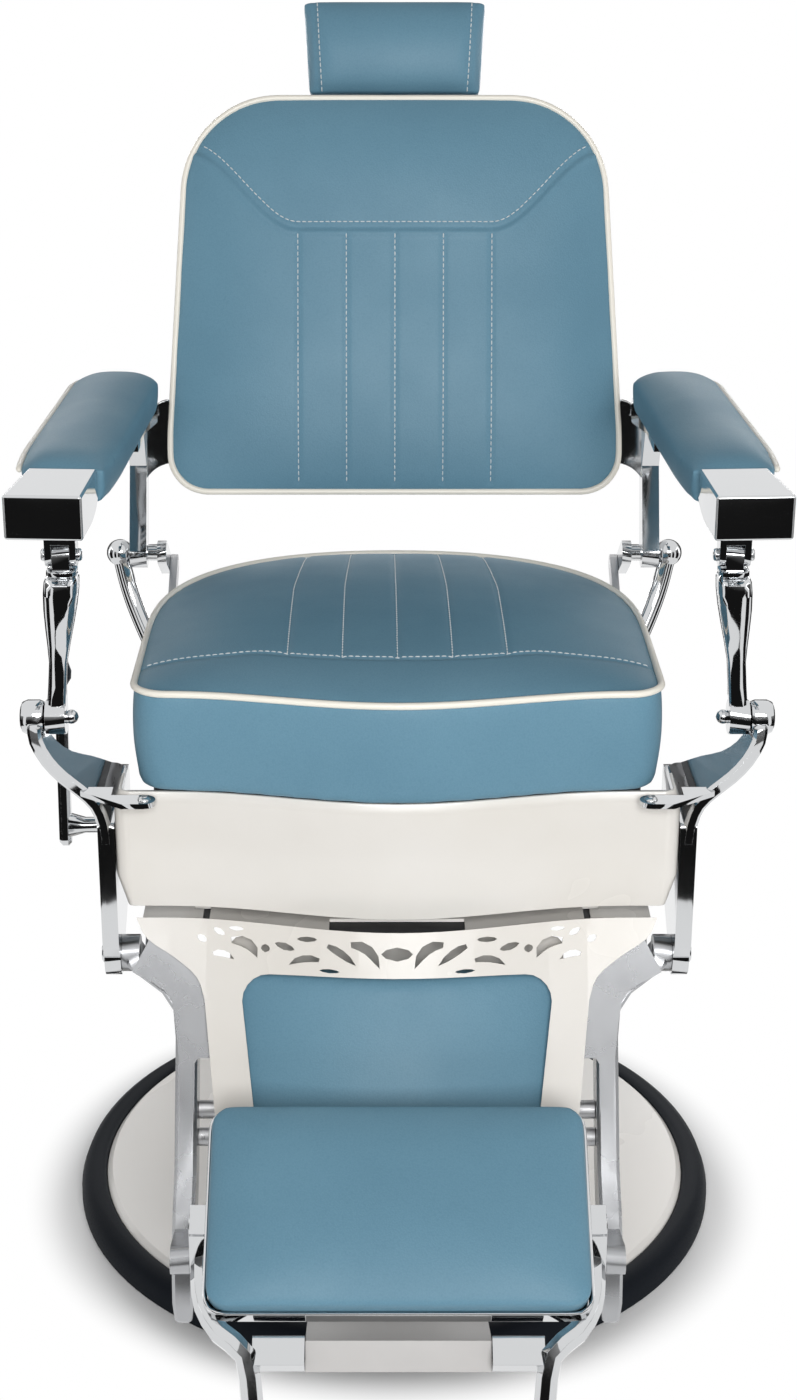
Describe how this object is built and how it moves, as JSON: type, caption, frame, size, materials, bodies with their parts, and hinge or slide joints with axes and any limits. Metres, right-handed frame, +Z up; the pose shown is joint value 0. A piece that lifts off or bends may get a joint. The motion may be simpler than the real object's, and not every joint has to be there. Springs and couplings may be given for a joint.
{
  "type": "barber chair",
  "caption": "Upholstered hydraulic barber chair with a round pump base, splayed arms on baluster posts, an openwork leg panel and a linked reclining back, leg rest and footrest.",
  "frame": {"origin": "on the floor, under the axis of the pump column", "axes": "+Z up along the column, the sitter faces -Y, +X to the sitter's left"},
  "size_m": [0.7086, 1.0183, 1.2314],
  "materials": {
    "chrome": "polished",
    "steel": "satin",
    "cream": "gloss enamel",
    "rubber": "matt",
    "vinyl": "satin vinyl",
    "plywood": "bare",
    "black": "matt"
  },
  "bodies": {
    "base": {"base_plate": "cream", "base_rim": "rubber", "pump_cylinder": "chrome", "pump_gland": "chrome", "pedal_bracket": "steel"},
    "pedal": {"pump_pedal": "chrome", "pedal_pad": "rubber"},
    "ram": {"lift_ram": "chrome", "swivel_cap": "steel"},
    "seat": {"carrier_plate": "steel", "frame_rail_right": "steel", "frame_rail_left": "steel", "front_tube": "steel", "rear_tube": "steel", "side_frame_right": "chrome", "side_frame_left": "chrome", "rear_horn_right": "chrome", "rear_horn_left": "chrome", "apron": "cream", "seat_pan": "plywood", "seat_cushion": "vinyl"},
    "lever": {"recline_lever": "chrome", "lever_knob": "black"},
    "backrest": {"back_bracket_right": "chrome", "back_bracket_left": "chrome", "back_panel": "black", "back_cushion": "vinyl", "headrest_socket": "chrome", "clamp_knob": "black"},
    "headrest_stem": {"headrest_bar": "chrome"},
    "headrest": {"headrest_bracket": "chrome", "headrest_pad": "vinyl"},
    "leg_rest": {"leg_frame_right": "chrome", "leg_frame_left": "chrome", "leg_panel": "cream", "calf_board": "plywood", "calf_pad": "vinyl", "leg_bar_upper": "steel", "leg_bar_lower": "steel"},
    "footrest": {"footrest_tray": "chrome", "footrest_pad": "vinyl", "footrest_arm_right": "chrome", "footrest_arm_left": "chrome", "foot_plate": "steel"},
    "arm_right": {"arm_rail_right": "chrome", "arm_box_right": "chrome", "arm_pad_right": "vinyl", "clevis_pin_right": "chrome"},
    "post_right": {"arm_post_right": "chrome"},
    "link_right": {"recline_link_right": "steel"},
    "arm_left": {"arm_rail_left": "chrome", "arm_box_left": "chrome", "arm_pad_left": "vinyl", "clevis_pin_left": "chrome"},
    "post_left": {"arm_post_left": "chrome"},
    "link_left": {"recline_link_left": "steel"}
  },
  "joints": [
    {"name": "lift", "type": "slide", "parent": "base", "child": "ram", "axis": [0, 0, 1], "range_m": [-0.06, 0.1]},
    {"name": "swivel", "type": "hinge", "parent": "ram", "child": "seat", "pos_m": [0, 0, 0.4203], "axis": [0, 0, 1], "continuous": true},
    {"name": "recline", "type": "hinge", "parent": "seat", "child": "backrest", "pos_m": [0, 0.21, 0.6647], "axis": [-1, 0, 0], "range_deg": [0, 45]},
    {"name": "leg_swing", "type": "hinge", "parent": "seat", "child": "leg_rest", "pos_m": [0, -0.215, 0.3937], "axis": [-1, 0, 0], "range_deg": [0, 45]},
    {"name": "footrest_flip", "type": "hinge", "parent": "leg_rest", "child": "footrest", "pos_m": [0, -0.43, 0.1887], "axis": [1, 0, 0], "range_deg": [0, 80]},
    {"name": "headrest_height", "type": "slide", "parent": "backrest", "child": "headrest_stem", "axis": [0, 0.3173, 0.9483], "range_m": [0, 0.1]},
    {"name": "headrest_tilt", "type": "hinge", "parent": "headrest_stem", "child": "headrest", "pos_m": [0, 0.43502, 1.162], "axis": [-1, 0, 0], "range_deg": [0, 30]},
    {"name": "lever_pull", "type": "hinge", "parent": "seat", "child": "lever", "pos_m": [0, -0.112, 0.4832], "axis": [-1, 0, 0], "range_deg": [0, 25], "stiffness_Nm_per_rad": 4, "springref_deg": -8.59},
    {"name": "pedal_press", "type": "hinge", "parent": "base", "child": "pedal", "pos_m": [0, 0.118, 0.0693], "axis": [-1, 0, 0], "range_deg": [0, 5], "stiffness_Nm_per_rad": 40, "springref_deg": -5.73},
    {"name": "post_swing_right", "type": "hinge", "parent": "seat", "child": "post_right", "pos_m": [0, -0.2, 0.6347], "axis": [-1, 0, 0], "range_deg": [0, 45]},
    {"name": "arm_level_right", "type": "hinge", "parent": "backrest", "child": "arm_right", "pos_m": [0, 0.22, 0.8217], "axis": [-1, 0, 0], "range_deg": [-45, 0]},
    {"name": "link_swing_right", "type": "hinge", "parent": "backrest", "child": "link_right", "pos_m": [0, 0.252, 0.6377], "axis": [-1, 0, 0], "range_deg": [-45, 0]},
    {"name": "post_swing_left", "type": "hinge", "parent": "seat", "child": "post_left", "pos_m": [0, -0.2, 0.6347], "axis": [-1, 0, 0], "range_deg": [0, 45]},
    {"name": "arm_level_left", "type": "hinge", "parent": "backrest", "child": "arm_left", "pos_m": [0, 0.22, 0.8217], "axis": [-1, 0, 0], "range_deg": [-45, 0]},
    {"name": "link_swing_left", "type": "hinge", "parent": "backrest", "child": "link_left", "pos_m": [0, 0.252, 0.6377], "axis": [-1, 0, 0], "range_deg": [-45, 0]}
  ],
  "couplings": [
    {"joint": "leg_swing", "follows": "recline", "ratio": 1},
    {"joint": "post_swing_right", "follows": "recline", "ratio": 1},
    {"joint": "arm_level_right", "follows": "recline", "ratio": -1},
    {"joint": "link_swing_right", "follows": "recline", "ratio": -1},
    {"joint": "post_swing_left", "follows": "recline", "ratio": 1},
    {"joint": "arm_level_left", "follows": "recline", "ratio": -1},
    {"joint": "link_swing_left", "follows": "recline", "ratio": -1}
  ]
}
